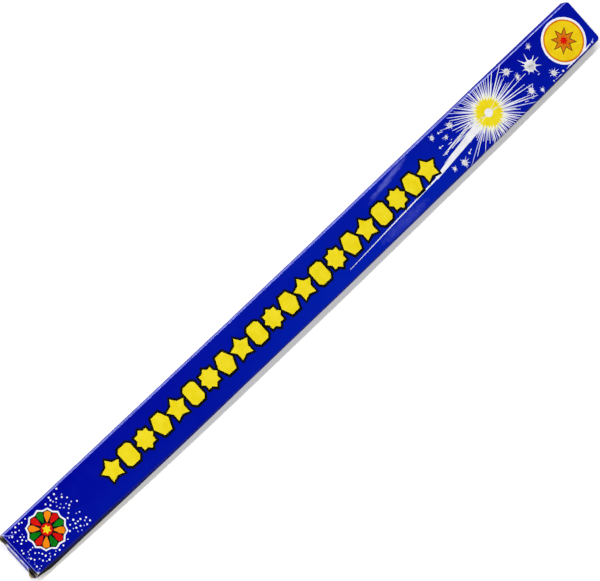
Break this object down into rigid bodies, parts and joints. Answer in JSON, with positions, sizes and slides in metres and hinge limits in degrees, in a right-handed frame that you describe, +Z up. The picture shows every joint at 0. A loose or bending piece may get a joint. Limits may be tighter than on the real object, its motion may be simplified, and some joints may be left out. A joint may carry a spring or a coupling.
{
  "type": "sparkler carton",
  "caption": "Long slim printed folding carton with a tuck lid and dust flaps at each end, holding a row of long wire sparklers that lie side by side.",
  "frame": {"origin": "middle of the underside, on the surface that the carton lies on", "axes": "+X along the carton from the handle end to the tip end, +Y to its left side, +Z up through the front panel"},
  "size_m": [0.724, 0.047, 0.013],
  "materials": {
    "printed_board": "gloss",
    "plain_board": "matte",
    "steel_wire": "satin",
    "spark_coating": "matte"
  },
  "bodies": {
    "sleeve": {"front_panel": "printed_board", "back_panel": "printed_board", "left_side_panel": "printed_board", "right_side_panel": "printed_board", "glue_flap": "plain_board"},
    "handle_end_lid": {"handle_end_lid": "printed_board"},
    "handle_end_tuck_flap": {"handle_end_tuck_flap": "printed_board"},
    "handle_end_left_dust_flap": {"handle_end_left_dust_flap": "printed_board"},
    "handle_end_right_dust_flap": {"handle_end_right_dust_flap": "printed_board"},
    "tip_end_lid": {"tip_end_lid": "printed_board"},
    "tip_end_tuck_flap": {"tip_end_tuck_flap": "printed_board"},
    "tip_end_left_dust_flap": {"tip_end_left_dust_flap": "printed_board"},
    "tip_end_right_dust_flap": {"tip_end_right_dust_flap": "printed_board"},
    "sparkler_1": {"sparkler_1_wire": "steel_wire", "sparkler_1_coating": "spark_coating"},
    "sparkler_2": {"sparkler_2_wire": "steel_wire", "sparkler_2_coating": "spark_coating"},
    "sparkler_3": {"sparkler_3_wire": "steel_wire", "sparkler_3_coating": "spark_coating"},
    "sparkler_4": {"sparkler_4_wire": "steel_wire", "sparkler_4_coating": "spark_coating"},
    "sparkler_5": {"sparkler_5_wire": "steel_wire", "sparkler_5_coating": "spark_coating"}
  },
  "joints": [
    {"name": "handle_end_lid_hinge", "type": "hinge", "parent": "sleeve", "child": "handle_end_lid", "pos_m": [-0.36175, 0, 0.00025], "axis": [0, -1, 0], "range_deg": [0, 150]},
    {"name": "handle_end_tuck_flap_hinge", "type": "hinge", "parent": "handle_end_lid", "child": "handle_end_tuck_flap", "pos_m": [-0.36175, 0, 0.0119], "axis": [0, 1, 0], "range_deg": [0, 33]},
    {"name": "handle_end_left_dust_flap_hinge", "type": "hinge", "parent": "sleeve", "child": "handle_end_left_dust_flap", "pos_m": [-0.3609, 0.02325, 0.0065], "axis": [0, 0, -1], "range_deg": [0, 60]},
    {"name": "handle_end_right_dust_flap_hinge", "type": "hinge", "parent": "sleeve", "child": "handle_end_right_dust_flap", "pos_m": [-0.3609, -0.02325, 0.0065], "axis": [0, 0, 1], "range_deg": [0, 60]},
    {"name": "tip_end_lid_hinge", "type": "hinge", "parent": "sleeve", "child": "tip_end_lid", "pos_m": [0.36175, 0, 0.01275], "axis": [0, -1, 0], "range_deg": [0, 150]},
    {"name": "tip_end_tuck_flap_hinge", "type": "hinge", "parent": "tip_end_lid", "child": "tip_end_tuck_flap", "pos_m": [0.36175, 0, 0.0011], "axis": [0, 1, 0], "range_deg": [0, 33]},
    {"name": "tip_end_left_dust_flap_hinge", "type": "hinge", "parent": "sleeve", "child": "tip_end_left_dust_flap", "pos_m": [0.3609, 0.02325, 0.0065], "axis": [0, 0, 1], "range_deg": [0, 60]},
    {"name": "tip_end_right_dust_flap_hinge", "type": "hinge", "parent": "sleeve", "child": "tip_end_right_dust_flap", "pos_m": [0.3609, -0.02325, 0.0065], "axis": [0, 0, -1], "range_deg": [0, 60]},
    {"name": "sparkler_1_slide", "type": "slide", "parent": "sleeve", "child": "sparkler_1", "axis": [1, 0, 0], "range_m": [-0.008, 0.005]},
    {"name": "sparkler_2_slide", "type": "slide", "parent": "sleeve", "child": "sparkler_2", "axis": [1, 0, 0], "range_m": [-0.008, 0.005]},
    {"name": "sparkler_3_slide", "type": "slide", "parent": "sleeve", "child": "sparkler_3", "axis": [1, 0, 0], "range_m": [-0.008, 0.005]},
    {"name": "sparkler_4_slide", "type": "slide", "parent": "sleeve", "child": "sparkler_4", "axis": [1, 0, 0], "range_m": [-0.008, 0.005]},
    {"name": "sparkler_5_slide", "type": "slide", "parent": "sleeve", "child": "sparkler_5", "axis": [1, 0, 0], "range_m": [-0.008, 0.005]}
  ],
  "couplings": [
    {"joint": "handle_end_tuck_flap_hinge", "follows": "handle_end_lid_hinge", "ratio": 0.22},
    {"joint": "handle_end_left_dust_flap_hinge", "follows": "handle_end_lid_hinge", "ratio": 0.4},
    {"joint": "handle_end_right_dust_flap_hinge", "follows": "handle_end_lid_hinge", "ratio": 0.4},
    {"joint": "tip_end_tuck_flap_hinge", "follows": "tip_end_lid_hinge", "ratio": 0.22},
    {"joint": "tip_end_left_dust_flap_hinge", "follows": "tip_end_lid_hinge", "ratio": 0.4},
    {"joint": "tip_end_right_dust_flap_hinge", "follows": "tip_end_lid_hinge", "ratio": 0.4}
  ]
}
